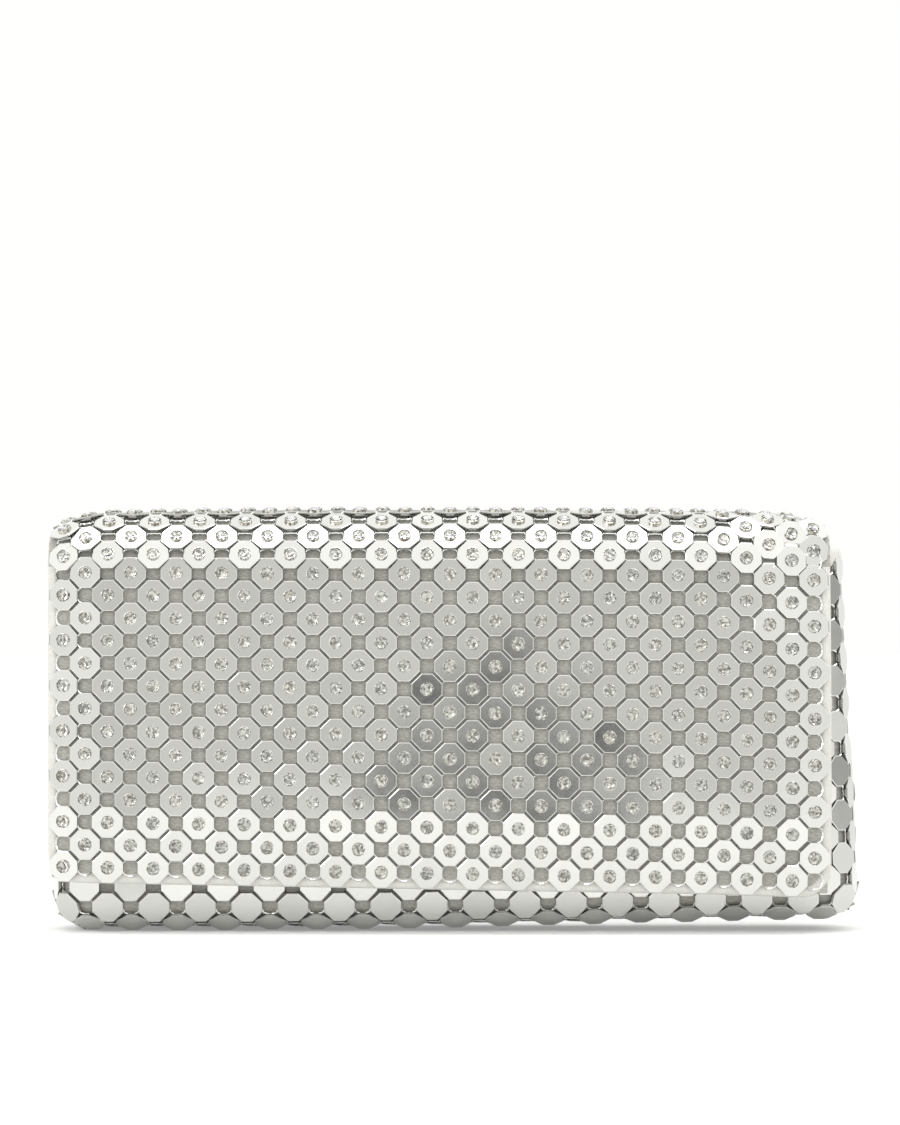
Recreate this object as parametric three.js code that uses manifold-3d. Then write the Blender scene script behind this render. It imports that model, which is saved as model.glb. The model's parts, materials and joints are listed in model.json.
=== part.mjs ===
// Evening bag: a small flap bag covered with linked octagonal metal plates. Millimetres, +Z up, front towards -Y,
// origin at the middle of the footprint on the surface it stands on.
// The flap hangs on a chain of eight narrow hinges, one at each row of links that bends over the top of the bag.
import * as THREE from "three";
import { mergeVertices } from "three/addons/utils/BufferGeometryUtils.js";
import Module from "manifold-3d";

// ---- Driving dimensions ----
const bodyWidth = 208;
const bodyDepth = 34;
const wallHeight = 97.5; // from the surface to the mouth, and to the first flap hinge
const cornerRadius = 11; // upright corners of the body, outside
const baseChamfer = 5; // width and height of the sloping lower edge
const rowStep = 6; // spacing of the plate rows, and the length of a bending row
const bendCount = 8; // hinge lines that carry the flap from the back to the front
const meshThickness = 1.8; // plates and the rings that link them
const boardThickness = 1.6; // stiffening board, or soft backing in the gussets
const liningThickness = 0.6;
const layerGap = 0.3; // between one layer and the next
const seamGap = 0.2; // between two panels of one layer
const flapSideInset = 4; // the satin-covered flap, without its binding, ends this far inside the bag's sides
const flapMeshLap = 0.3; // the plates reach this far over the flap's sides
const flapHemHeight = 12.5; // of the flap's lower edge above the surface
const flapMeshStop = 0.4; // the plates end this far above the flap's lower edge
const flapBindingWidth = 1.6;
const stripLiningThickness = 1.0; // satin of the bending rows, doubled
const snapHeight = 30; // of the magnetic snap's middle
const bindingHeight = 1.6; // satin binding on top of the mouth

// Magnetic snap
const socketRadius = 9;
const socketThickness = 2.2;
const socketSheet = 0.4;
const socketHoleRadius = 3.4;
const magnetClearance = 0.2;
const studDiscRadius = 8;
const studDiscThickness = 1.2;
const studRadius = 2.6;
const studLength = 1.5;
const snapClearance = 0.4; // between the two halves when the bag is shut
const washerRadius = 6;
const washerThickness = 0.4;
const prongThickness = 0.4;
const prongWidth = 3;
const prongSpacing = 6; // between the two prongs
const prongFold = 2.2; // bent part that lies on the washer
const slotClearance = 0.3;

// Slip pocket on the back lining
const pocketWidth = 120;
const pocketHeight = 60;
const pocketFloor = 16; // height of its lower edge
const pocketHem = 4; // stitched edge
const pocketGap = 1.0; // room behind the panel
const pocketPanelThickness = 0.6;
const pocketBindingHeight = 5;
const pocketBindingThickness = 0.5;

// ---- Values worked out from them ----
const bendAngle = Math.PI / bendCount;
const wallStack = meshThickness + boardThickness + liningThickness + 2 * layerGap;
const flapStack = wallStack; // the flap's front panel has the same layers
const snapStandOff = socketThickness + studDiscThickness + snapClearance + 2 * layerGap;
const totalDepth = bodyDepth + snapStandOff + flapStack;
const backY = totalDepth / 2; // outer face of the back
const bodyFrontY = backY - bodyDepth;
const bodyCentreY = backY - bodyDepth / 2;
const flapFrontY = -totalDepth / 2; // outer face of the closed flap
const flapInnerY = flapFrontY + flapStack;
const cornerX = bodyWidth / 2 - cornerRadius; // where the front ends and the gusset begins
const boardInset = meshThickness + layerGap;
const liningInset = boardInset + boardThickness + layerGap;
const baseTop = baseChamfer + 0.4; // the base trays end here and the walls begin
const flapWidth = bodyWidth - 2 * flapSideInset;
const flapMeshWidth = flapWidth + 2 * flapMeshLap;
const ARC_STEPS = 5;
const ROUND_STEPS = 24;

const wasm = await Module();
wasm.setup();

// ---- Helpers ----

function toSolid(geometry) {
  const bare = geometry.index ? geometry.toNonIndexed() : geometry.clone();
  bare.deleteAttribute("normal");
  bare.deleteAttribute("uv");
  const merged = mergeVertices(bare, 1e-4);
  const vertProperties = merged.attributes.position.array;
  const triVerts = new Uint32Array(merged.index.array);
  return new wasm.Manifold(new wasm.Mesh({ numProp: 3, vertProperties, triVerts }));
}

function toGeometry(solid) {
  const made = solid.getMesh();
  const geometry = new THREE.BufferGeometry();
  geometry.setAttribute("position", new THREE.BufferAttribute(new Float32Array(made.vertProperties), 3));
  geometry.setIndex(new THREE.BufferAttribute(new Uint32Array(made.triVerts), 1));
  geometry.computeVertexNormals();
  return geometry;
}

// A box from its two corners.
function boxSolid([x0, y0, z0], [x1, y1, z1]) {
  const geometry = new THREE.BoxGeometry(x1 - x0, y1 - y0, z1 - z0);
  geometry.translate((x0 + x1) / 2, (y0 + y1) / 2, (z0 + z1) / 2);
  return toSolid(geometry);
}

function roundedRect(width, depth, radius) {
  const x = width / 2 - radius;
  const y = depth / 2 - radius;
  const shape = new THREE.Shape();
  shape.absarc(x, y, radius, 0, Math.PI / 2);
  shape.absarc(-x, y, radius, Math.PI / 2, Math.PI);
  shape.absarc(-x, -y, radius, Math.PI, 1.5 * Math.PI);
  shape.absarc(x, -y, radius, 1.5 * Math.PI, 2 * Math.PI);
  return shape;
}

// A closed outline in the Y-Z plane, carried along X and centred on it.
function alongX(points, width) {
  const shape = new THREE.Shape(points.map(([y, z]) => new THREE.Vector2(y, z)));
  const geometry = new THREE.ExtrudeGeometry(shape, { depth: width, bevelEnabled: false });
  geometry.translate(0, 0, -width / 2);
  const axes = new THREE.Matrix4().makeBasis(
    new THREE.Vector3(0, 1, 0),
    new THREE.Vector3(0, 0, 1),
    new THREE.Vector3(1, 0, 0),
  );
  return geometry.applyMatrix4(axes);
}

// A round part on the snap's axis: the profile's points are [radius, Y].
function aroundSnap(profile) {
  const points = profile.map(([r, y]) => new THREE.Vector2(r, y));
  const geometry = new THREE.LatheGeometry(points, ROUND_STEPS);
  geometry.translate(0, 0, snapHeight);
  return toSolid(geometry);
}

// ---- Body: three layers, each a tray and four walls ----

// The body's outer form moved inwards by inset, its lower edge chamfered, and open above the mouth.
function bodyBlock(inset) {
  const chamfer = baseChamfer - inset * (2 - Math.SQRT2);
  const shrink = 2 * (inset + chamfer);
  const outline = roundedRect(bodyWidth - shrink, bodyDepth - shrink, cornerRadius - shrink / 2);
  const geometry = new THREE.ExtrudeGeometry(outline, {
    depth: wallHeight,
    bevelThickness: chamfer,
    bevelSize: chamfer,
    bevelSegments: 1,
    curveSegments: ARC_STEPS,
  });
  geometry.translate(0, bodyCentreY, inset + chamfer);
  return toSolid(geometry);
}

function layerShell(inset, thickness, top) {
  const limit = boxSolid([-bodyWidth, -bodyDepth - totalDepth, -1], [bodyWidth, bodyDepth + totalDepth, top]);
  return bodyBlock(inset).subtract(bodyBlock(inset + thickness)).intersect(limit);
}

// The five panels of one layer, cut from its shell with a seam between them.
function layerPanels(inset, thickness) {
  const shell = layerShell(inset, thickness, wallHeight);
  const far = bodyWidth;
  const low = baseTop + seamGap / 2;
  const inX = cornerX - seamGap / 2;
  const outX = cornerX + seamGap / 2;
  const cut = (from, to) => shell.intersect(boxSolid(from, to));
  return {
    base: cut([-far, -far, -1], [far, far, baseTop - seamGap / 2]),
    front: cut([-inX, -far, low], [inX, bodyCentreY, far]),
    back: cut([-inX, bodyCentreY, low], [inX, far, far]),
    left: cut([-far, -far, low], [-outX, far, far]),
    right: cut([outX, -far, low], [far, far, far]),
  };
}

// Satin binding on the mouth's edge. It stops short of the back, where the flap leaves the body.
function mouthBinding() {
  const low = wallHeight + layerGap / 2;
  const ring = new THREE.ExtrudeGeometry(roundedRect(bodyWidth, bodyDepth, cornerRadius), {
    depth: bindingHeight,
    bevelEnabled: false,
    curveSegments: ARC_STEPS,
  });
  const insetWidth = 2 * wallStack;
  const hole = new THREE.ExtrudeGeometry(
    roundedRect(bodyWidth - insetWidth, bodyDepth - insetWidth, cornerRadius - wallStack),
    { depth: 3 * bindingHeight, bevelEnabled: false, curveSegments: ARC_STEPS },
  );
  ring.translate(0, bodyCentreY, low);
  hole.translate(0, bodyCentreY, low - bindingHeight);
  const rail = toSolid(ring).subtract(toSolid(hole));
  const endY = backY - wallStack - 2 * layerGap;
  const far = bodyWidth;
  const inX = cornerX - seamGap / 2;
  const outX = cornerX + seamGap / 2;
  return {
    front: rail.intersect(boxSolid([-inX, -far, 0], [inX, bodyCentreY, 2 * far])),
    left: rail.intersect(boxSolid([-far, -far, 0], [-outX, endY, 2 * far])),
    right: rail.intersect(boxSolid([outX, -far, 0], [far, endY, 2 * far])),
  };
}

// ---- Slip pocket ----

function pocketPanel() {
  const wallY = backY - wallStack - layerGap / 2; // just off the back lining
  const faceY = wallY - pocketGap;
  const high = pocketFloor + pocketHeight;
  const panel = boxSolid(
    [-pocketWidth / 2, faceY - pocketPanelThickness, pocketFloor],
    [pocketWidth / 2, wallY, high],
  );
  const room = boxSolid(
    [-pocketWidth / 2 + pocketHem, faceY, pocketFloor + pocketHem],
    [pocketWidth / 2 - pocketHem, wallY + 1, high + 1],
  );
  return panel.subtract(room);
}

function pocketBinding() {
  const faceY = backY - wallStack - layerGap / 2 - pocketGap - pocketPanelThickness - layerGap / 2;
  const high = pocketFloor + pocketHeight;
  return boxSolid(
    [-pocketWidth / 2, faceY - pocketBindingThickness, high - pocketBindingHeight],
    [pocketWidth / 2, faceY, high],
  );
}

// ---- Magnetic snap ----

// A pair of bent prongs. They start at rootY, run to the washer's far face and fold outwards. way is the sign of Y.
function prongPair(rootY, washerFaceY, way) {
  const half = prongSpacing / 2;
  const t = prongThickness;
  const one = (side) => {
    const shape = new THREE.Shape();
    shape.moveTo(side * half, rootY);
    shape.lineTo(side * (half + t), rootY);
    shape.lineTo(side * (half + t), washerFaceY);
    shape.lineTo(side * (half + t + prongFold), washerFaceY);
    shape.lineTo(side * (half + t + prongFold), washerFaceY + way * t);
    shape.lineTo(side * half, washerFaceY + way * t);
    const geometry = new THREE.ExtrudeGeometry(shape, { depth: prongWidth, bevelEnabled: false });
    geometry.translate(0, 0, snapHeight - prongWidth / 2);
    return toSolid(geometry);
  };
  return one(-1).add(one(1));
}

// The two slots that prongs pass through, between two Y values.
function prongSlots(fromY, toY) {
  const half = prongSpacing / 2;
  const c = slotClearance;
  const one = (x0, x1) =>
    boxSolid([x0, fromY, snapHeight - prongWidth / 2 - c], [x1, toY, snapHeight + prongWidth / 2 + c]);
  return one(-half - prongThickness - c, -half + c).add(one(half - c, half + prongThickness + c));
}

function snapWasher(fromY, toY) {
  const disc = aroundSnap([[0, fromY], [washerRadius, fromY], [washerRadius, toY], [0, toY]]);
  return disc.subtract(prongSlots(fromY - 1, toY + 1));
}

// Round recess in a board for a washer and the folded prongs.
function washerRecess(fromY, toY) {
  const radius = washerRadius + slotClearance;
  return aroundSnap([[0, fromY], [radius, fromY], [radius, toY], [0, toY]]);
}

const recessDepth = washerThickness + prongThickness + slotClearance;
const socketBackY = bodyFrontY - layerGap;
const socketFrontY = socketBackY - socketThickness;
const frontBoardInnerY = bodyFrontY + boardInset + boardThickness;
const socketWasherY = frontBoardInnerY - recessDepth + 0.1;
const studDiscBackY = flapInnerY + layerGap;
const studDiscFaceY = studDiscBackY + studDiscThickness;
const flapBoardOuterY = flapFrontY + boardInset;
const studWasherY = flapBoardOuterY + recessDepth - 0.1;

// Cap of the magnet half, open at the back, with the hole that takes the stud.
function snapSocket() {
  const inner = socketRadius - socketSheet;
  const ledge = socketFrontY + socketSheet;
  const cap = aroundSnap([
    [socketHoleRadius, socketFrontY],
    [socketRadius, socketFrontY],
    [socketRadius, socketBackY],
    [inner, socketBackY],
    [inner, ledge],
    [socketHoleRadius, ledge],
    [socketHoleRadius, socketFrontY],
  ]);
  const half = prongSpacing / 2;
  const bridge = boxSolid(
    [-inner, socketBackY - socketSheet, snapHeight - prongWidth / 2],
    [inner, socketBackY, snapHeight + prongWidth / 2],
  );
  const overlap = 0.1;
  const plate = bridge.add(
    boxSolid(
      [-inner - overlap, socketBackY - socketSheet, snapHeight - half],
      [inner + overlap, socketBackY, snapHeight + half],
    ),
  );
  return cap.add(plate).add(prongPair(socketBackY - socketSheet / 2, socketWasherY + washerThickness, 1));
}

// Ring magnet held in the cap.
function snapMagnet() {
  const outer = socketRadius - socketSheet - magnetClearance;
  const low = socketFrontY + socketSheet + magnetClearance / 2;
  const high = socketBackY - socketSheet - magnetClearance / 2;
  const inner = socketHoleRadius + magnetClearance;
  return aroundSnap([[inner, low], [outer, low], [outer, high], [inner, high], [inner, low]]);
}

// Plain half, on the flap: a disc with the stud that drops into the magnet.
function snapStud() {
  const tip = studDiscFaceY + studLength;
  const body = aroundSnap([
    [0, studDiscBackY],
    [studDiscRadius, studDiscBackY],
    [studDiscRadius, studDiscFaceY],
    [studRadius, studDiscFaceY],
    [studRadius, tip],
    [0, tip],
  ]);
  return body.add(prongPair(studDiscBackY + 0.2, studWasherY - washerThickness, -1));
}

// ---- Flap ----

// Directions along the flap's bending rows, from the back, over the top, to the front.
function bendingRows() {
  const turning = [];
  for (let i = 1; i < bendCount; i += 1) turning.push(i * bendAngle);
  const middle = bendCount / 2 - 1;
  const run = turning.reduce((sum, angle, i) => sum + (i === middle ? 0 : rowStep * Math.sin(angle)), 0);
  const topLength = totalDepth - run; // the flat row takes up what the turning rows leave
  const rows = [];
  let y = backY;
  let z = wallHeight;
  turning.forEach((angle, i) => {
    const length = i === middle ? topLength : rowStep;
    const along = [-Math.sin(angle), Math.cos(angle)];
    const inward = [-Math.cos(angle), -Math.sin(angle)];
    rows.push({ y, z, length, along, inward, angle });
    y += along[0] * length;
    z += along[1] * length;
  });
  return rows;
}

// One layer of a bending row, between two depths under the outer face, mitred so that the rows can bend.
function rowLayer(row, index, from, to, width) {
  const gap = seamGap;
  const mitre = Math.tan(bendAngle / 2);
  const startMitre = index === 0 ? Math.tan(bendAngle) : mitre;
  const startGap = index === 0 ? gap + layerGap / 2 : gap;
  const point = (along, depth) => [
    row.y + row.along[0] * along + row.inward[0] * depth,
    row.z + row.along[1] * along + row.inward[1] * depth,
  ];
  const outline = [
    point(startGap + from * startMitre, from),
    point(row.length - gap - from * mitre, from),
    point(row.length - gap - to * mitre, to),
    point(startGap + to * startMitre, to),
  ];
  return alongX(outline, width);
}

// A flat layer of the flap's front panel, between two depths under its outer face.
function frontLayer(from, to, width, lowZ) {
  const highZ = wallHeight - seamGap - to * Math.tan(bendAngle / 2);
  return boxSolid([-width / 2, flapFrontY + from, lowZ], [width / 2, flapFrontY + to, highZ]);
}

// Satin binding along the flap's sides and lower edge, level with the board.
function flapBinding() {
  const from = flapFrontY + boardInset;
  const to = from + boardThickness + layerGap;
  const inner = flapWidth / 2 + seamGap / 2;
  const outer = flapWidth / 2 + flapBindingWidth;
  const low = flapHemHeight - flapBindingWidth;
  const high = wallHeight - seamGap - flapStack * Math.tan(bendAngle / 2);
  return {
    left: boxSolid([-outer, from, flapHemHeight], [-inner, to, high]),
    right: boxSolid([inner, from, flapHemHeight], [outer, to, high]),
    bottom: boxSolid([-outer, from, low], [outer, to, flapHemHeight - seamGap / 2]),
  };
}

// ---- Materials ----

const finish = (color, roughness, metalness) =>
  new THREE.MeshStandardMaterial({ color, roughness, metalness });
const plateMetal = finish(0xd4d4d1, 0.3, 1);
const crystalPlateMetal = finish(0xdededb, 0.22, 1);
const satinCloth = finish(0xc9c9c4, 0.55, 0);
const liningCloth = finish(0xb4b4b0, 0.6, 0);
const boardCard = finish(0xa9a59a, 0.9, 0);
const snapSteel = finish(0xd0d0d2, 0.15, 1);
const magnetIron = finish(0x4a4a4d, 0.5, 1);

// ---- Assembly ----

const bag = new THREE.Group();
const bodyGroup = new THREE.Group();
const flapGroup = new THREE.Group();
bag.add(bodyGroup, flapGroup);

function place(group, name, shape, material) {
  const geometry = shape.isBufferGeometry ? shape : toGeometry(shape);
  const mesh = new THREE.Mesh(geometry, material);
  mesh.name = name;
  group.add(mesh);
}

const meshPanels = layerPanels(0, meshThickness);
const boardPanels = layerPanels(boardInset, boardThickness);
const liningPanels = layerPanels(liningInset, liningThickness);
meshPanels.front = meshPanels.front.subtract(prongSlots(bodyFrontY - 1, bodyFrontY + boardInset));
boardPanels.front = boardPanels.front
  .subtract(prongSlots(bodyFrontY, frontBoardInnerY + layerGap / 2))
  .subtract(washerRecess(frontBoardInnerY - recessDepth, frontBoardInnerY + layerGap / 2));

for (const side of ["front", "back", "left", "right", "base"]) {
  const gusset = side === "left" || side === "right";
  place(bodyGroup, `mesh_${side}`, meshPanels[side], plateMetal);
  place(bodyGroup, `${gusset ? "backing" : "board"}_${side}`, boardPanels[side], gusset ? satinCloth : boardCard);
  place(bodyGroup, `lining_${side}`, liningPanels[side], liningCloth);
}
for (const [side, rail] of Object.entries(mouthBinding())) {
  place(bodyGroup, `binding_${side}`, rail, satinCloth);
}
place(bodyGroup, "pocket_panel", pocketPanel(), liningCloth);
place(bodyGroup, "pocket_binding", pocketBinding(), satinCloth);
place(bodyGroup, "snap_socket", snapSocket(), snapSteel);
place(bodyGroup, "snap_magnet", snapMagnet(), magnetIron);
place(bodyGroup, "snap_socket_washer", snapWasher(socketWasherY, socketWasherY + washerThickness), snapSteel);

bendingRows().forEach((row, i) => {
  const liningFrom = meshThickness + layerGap;
  const mesh = rowLayer(row, i, 0, meshThickness, flapMeshWidth);
  const lining = rowLayer(row, i, liningFrom, liningFrom + stripLiningThickness, flapWidth);
  place(flapGroup, `flap_mesh_row_${i + 1}`, mesh, crystalPlateMetal);
  place(flapGroup, `flap_lining_row_${i + 1}`, lining, satinCloth);
});

const boardTo = boardInset + boardThickness;
const flapBoard = frontLayer(boardInset, boardTo, flapWidth, flapHemHeight)
  .subtract(prongSlots(flapFrontY, flapInnerY))
  .subtract(washerRecess(flapBoardOuterY - layerGap / 2, flapBoardOuterY + recessDepth));
const flapLining = frontLayer(liningInset, flapStack, flapWidth, flapHemHeight).subtract(
  prongSlots(flapFrontY, flapInnerY + 1),
);
const flapMesh = frontLayer(0, meshThickness, flapMeshWidth, flapHemHeight + flapMeshStop);
place(flapGroup, "flap_mesh_front", flapMesh, crystalPlateMetal);
place(flapGroup, "flap_board", flapBoard, boardCard);
place(flapGroup, "flap_lining", flapLining, satinCloth);
for (const [side, rail] of Object.entries(flapBinding())) {
  place(flapGroup, `flap_binding_${side}`, rail, satinCloth);
}
place(flapGroup, "snap_stud", snapStud(), snapSteel);
place(flapGroup, "snap_stud_washer", snapWasher(studWasherY - washerThickness, studWasherY), snapSteel);

export default bag;
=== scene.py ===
"""Evening bag of linked octagonal metal plates: the visible model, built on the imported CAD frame.
Metres, +Z up, front to -Y."""
import functools
import json
import math

import bpy
import numpy as np
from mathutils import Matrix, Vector

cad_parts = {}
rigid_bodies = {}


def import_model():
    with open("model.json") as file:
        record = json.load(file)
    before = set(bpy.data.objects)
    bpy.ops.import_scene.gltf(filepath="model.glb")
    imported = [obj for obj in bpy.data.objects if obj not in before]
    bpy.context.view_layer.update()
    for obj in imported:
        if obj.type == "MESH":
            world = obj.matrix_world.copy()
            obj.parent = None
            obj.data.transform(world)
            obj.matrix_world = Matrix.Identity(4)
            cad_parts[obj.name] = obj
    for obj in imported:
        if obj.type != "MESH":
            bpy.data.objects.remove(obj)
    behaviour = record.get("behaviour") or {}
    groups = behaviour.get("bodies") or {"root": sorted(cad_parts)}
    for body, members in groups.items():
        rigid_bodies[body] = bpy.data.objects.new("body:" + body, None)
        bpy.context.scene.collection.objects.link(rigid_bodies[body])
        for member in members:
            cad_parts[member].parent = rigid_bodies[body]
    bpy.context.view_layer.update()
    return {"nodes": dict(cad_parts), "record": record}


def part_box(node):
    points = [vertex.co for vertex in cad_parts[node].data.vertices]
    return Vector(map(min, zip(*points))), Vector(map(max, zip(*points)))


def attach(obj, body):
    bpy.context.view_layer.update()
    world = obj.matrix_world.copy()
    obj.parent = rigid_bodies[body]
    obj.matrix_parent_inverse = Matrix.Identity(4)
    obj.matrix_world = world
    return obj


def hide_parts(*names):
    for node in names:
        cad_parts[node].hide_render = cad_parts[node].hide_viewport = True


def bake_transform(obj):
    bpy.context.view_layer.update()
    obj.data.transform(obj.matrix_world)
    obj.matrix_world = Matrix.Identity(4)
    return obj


bl_info = {
    "name": "Plate Mesh Evening Bag",
    "version": (1, 0, 0),
    "blender": (4, 5, 0),
    "location": "View3D > Sidebar > Evening Bag",
    "description": "Builds an evening bag covered with linked metal plates and crystals",
    "category": "Add Mesh",
}

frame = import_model()
MM = 0.001

# ---- Places that come from the frame ----


def edge(node, corner, axis):
    """One side of a CAD node's box: corner 0 is the low side and 1 the high side, axis 0, 1 or 2."""
    return float(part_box(node)[corner][axis])


def running(steps):
    """0 and the running total of the steps."""
    return np.concatenate([[0.0], np.cumsum(steps)])


def travel(points):
    """Distance along a line of points, from 0 at the first."""
    return running(np.linalg.norm(np.diff(points, axis=0), axis=1))


JOINTS = sorted(frame["record"]["behaviour"]["joints"], key=lambda joint: joint["name"])
HINGES = np.array([joint["pos_m"][1:] for joint in JOINTS])  # y and z of each hinge
BEND = math.pi / len(HINGES)  # how far the closed flap bends at each hinge
ROW_LENGTHS = np.linalg.norm(np.diff(HINGES, axis=0), axis=1)
HINGE_S = running(ROW_LENGTHS)  # distance along the flap to each hinge
ROW_BODIES = [f"flap_row_{k}" for k in range(1, len(HINGES))]
FLAP_BODIES = ROW_BODIES + ["flap_front"]
WALLS = ("front", "back", "left", "right", "base")

MOUTH_Z = edge("mesh_front", 1, 2)
BODY_HALF_X = edge("mesh_base", 1, 0)
BODY_FRONT_Y = edge("mesh_base", 0, 1)
BODY_BACK_Y = edge("mesh_base", 1, 1)
BODY_MID_Y = (BODY_FRONT_Y + BODY_BACK_Y) / 2
BODY_HALF_Y = (BODY_BACK_Y - BODY_FRONT_Y) / 2
CORNER_R = BODY_HALF_X - edge("mesh_front", 1, 0)
QUARTER = math.pi / 2 * CORNER_R  # length of one rounded corner of the body's plan
FLAP_HALF_X = edge("flap_binding_right", 1, 0)
FLAP_HEM_S = float(HINGE_S[-1]) + MOUTH_Z - edge("flap_board", 0, 2)
FLAP_STACK = edge("flap_lining", 1, 1) - edge("flap_mesh_front", 0, 1)

# Depths below the mesh's outer face
PLATE_DEPTH = 0.6 * MM
CLOTH_DEPTH = 1.75 * MM
BOARD_DEPTHS = (2.25 * MM, 3.75 * MM)
STRIP_DEPTH = 2.95 * MM  # inner face of the flap's satin where it has no board


# ---- Settings ----


def size_in_mm(name, description, value):
    """A length that the user can change, its default given in millimetres."""
    return bpy.props.FloatProperty(name=name, description=description, default=value * MM, unit="LENGTH")


def colour_setting(name, description, value):
    """A colour that the user can change."""
    return bpy.props.FloatVectorProperty(
        name=name, description=description, default=value, subtype="COLOR", size=3)


class PlateSettings(bpy.types.PropertyGroup):
    """The linked metal plates."""

    plate_half: size_in_mm("Plate half width", "Half the plate's width across its upright flats", 3.98)
    plate_corner: size_in_mm("Plate corner", "Distance from the plate's middle to its slanting flats", 3.8)
    plate_bevel: size_in_mm("Bevel", "Width of the bright rim round each plate", 0.2)
    plate_thickness: size_in_mm("Plate thickness", "Thickness of the sheet metal", 0.5)
    row_step: size_in_mm("Row step", "Distance between rows of plates", 5.92)
    flap_reach: size_in_mm("Flap reach", "From the flap's middle to the middle of its last half column", 96.9)
    first_row: size_in_mm("First row", "From the last bend down to the first row on the flap's front", 4.9)
    flap_columns: bpy.props.IntProperty(
        name="Flap half columns", description="Half columns across the flap", default=34)
    body_columns: bpy.props.IntProperty(
        name="Body columns", description="Plates in one ring round the body", default=39)
    ring_radius: size_in_mm("Ring radius", "Radius of the wire ring under each window", 2.35)
    wire_radius: size_in_mm("Wire radius", "Half the thickness of the ring wire", 0.23)
    crystal_radius: size_in_mm("Crystal radius", "Radius of the round crystals", 1.56)
    tilt: bpy.props.FloatProperty(
        name="Tilt", description="How far the plates lean at random", default=math.radians(0.38),
        subtype="ANGLE")


class ShapeSettings(bpy.types.PropertyGroup):
    """How the soft shell and flap sag."""

    edge_radius: size_in_mm("Lower edge", "Radius of the rounded lower edge", 8.5)
    mouth_taper: size_in_mm("Taper", "How much narrower each side is at the mouth", 1.2)
    spread: size_in_mm("Spread", "How far each gusset stands out beyond its panel", 0.6)
    gusset_tuck: size_in_mm("Gusset tuck", "How far each gusset sinks in at the mouth", 1.6)
    curl_left: size_in_mm("Left curl", "How far the flap's left side turns in", 3.8)
    curl_right: size_in_mm("Right curl", "How far the flap's right side turns in", 2.4)
    curl_width: size_in_mm("Curl width", "Width of the flap's side that turns in", 17)
    droop: size_in_mm("Corner droop", "How far the right top corner sinks", 3.4)
    skew: size_in_mm("Flap skew", "How much lower the flap hangs at its right side", 1.35)
    flap_shift: size_in_mm("Flap shift", "How far the flap sits to the left of the body", 3.0)
    lean: size_in_mm("Body lean", "How far the mouth leans to the left of the base", 3.0)
    lift: size_in_mm("Base lift", "How far the right end of the lower edge rises", 3.0)
    crown: size_in_mm("Flap crown", "How far the flap's middle stands proud of its sides", 1.0)
    lean_back: size_in_mm("Lean back", "How far the top of the flap's front leans back", 2.1)
    hem_turn: size_in_mm("Hem turn", "How far the hem turns towards the bag", 2.2)


class FinishSettings(bpy.types.PropertyGroup):
    """Colours of the finishes."""

    metal: colour_setting("Plate metal", "Colour of the plates", (0.81, 0.81, 0.785))
    facing: colour_setting("Facing satin", "Colour of the bindings", (0.72, 0.72, 0.68))
    # The backing satin's grey is partly its own colour and partly painted shade: it is set much darker than
    # the facing satin, for the shade in the windows under the plates.
    backing: colour_setting("Backing satin", "Colour of the satin behind the plates", (0.43, 0.43, 0.39))
    lining: colour_setting("Lining satin", "Colour of the lining", (0.5, 0.5, 0.49))


class StudioSettings(bpy.types.PropertyGroup):
    """Camera and light."""

    distance: bpy.props.FloatProperty(
        name="Camera distance", description="From the camera to the flap's front", default=1.3, unit="LENGTH")
    azimuth: bpy.props.FloatProperty(
        name="Camera side angle", description="How far the camera stands to the right",
        default=math.radians(0.4), subtype="ANGLE")
    roll: bpy.props.FloatProperty(
        name="Camera roll", description="Lean of the camera", default=0.0, subtype="ANGLE")
    height: size_in_mm("Camera height", "Height of the level camera", 95.6)
    view_height: size_in_mm("View height", "Height of the picture at the flap", 288.8)


# ---- Small mathematics ----


def smooth_step(t):
    """0 below 0, 1 above 1, and 3t^2 - 2t^3 in between."""
    t = np.clip(t, 0.0, 1.0)
    return t * t * (3 - 2 * t)


def unit(v):
    """Vectors divided by their lengths."""
    return v / np.linalg.norm(v, axis=-1, keepdims=True)


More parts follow.
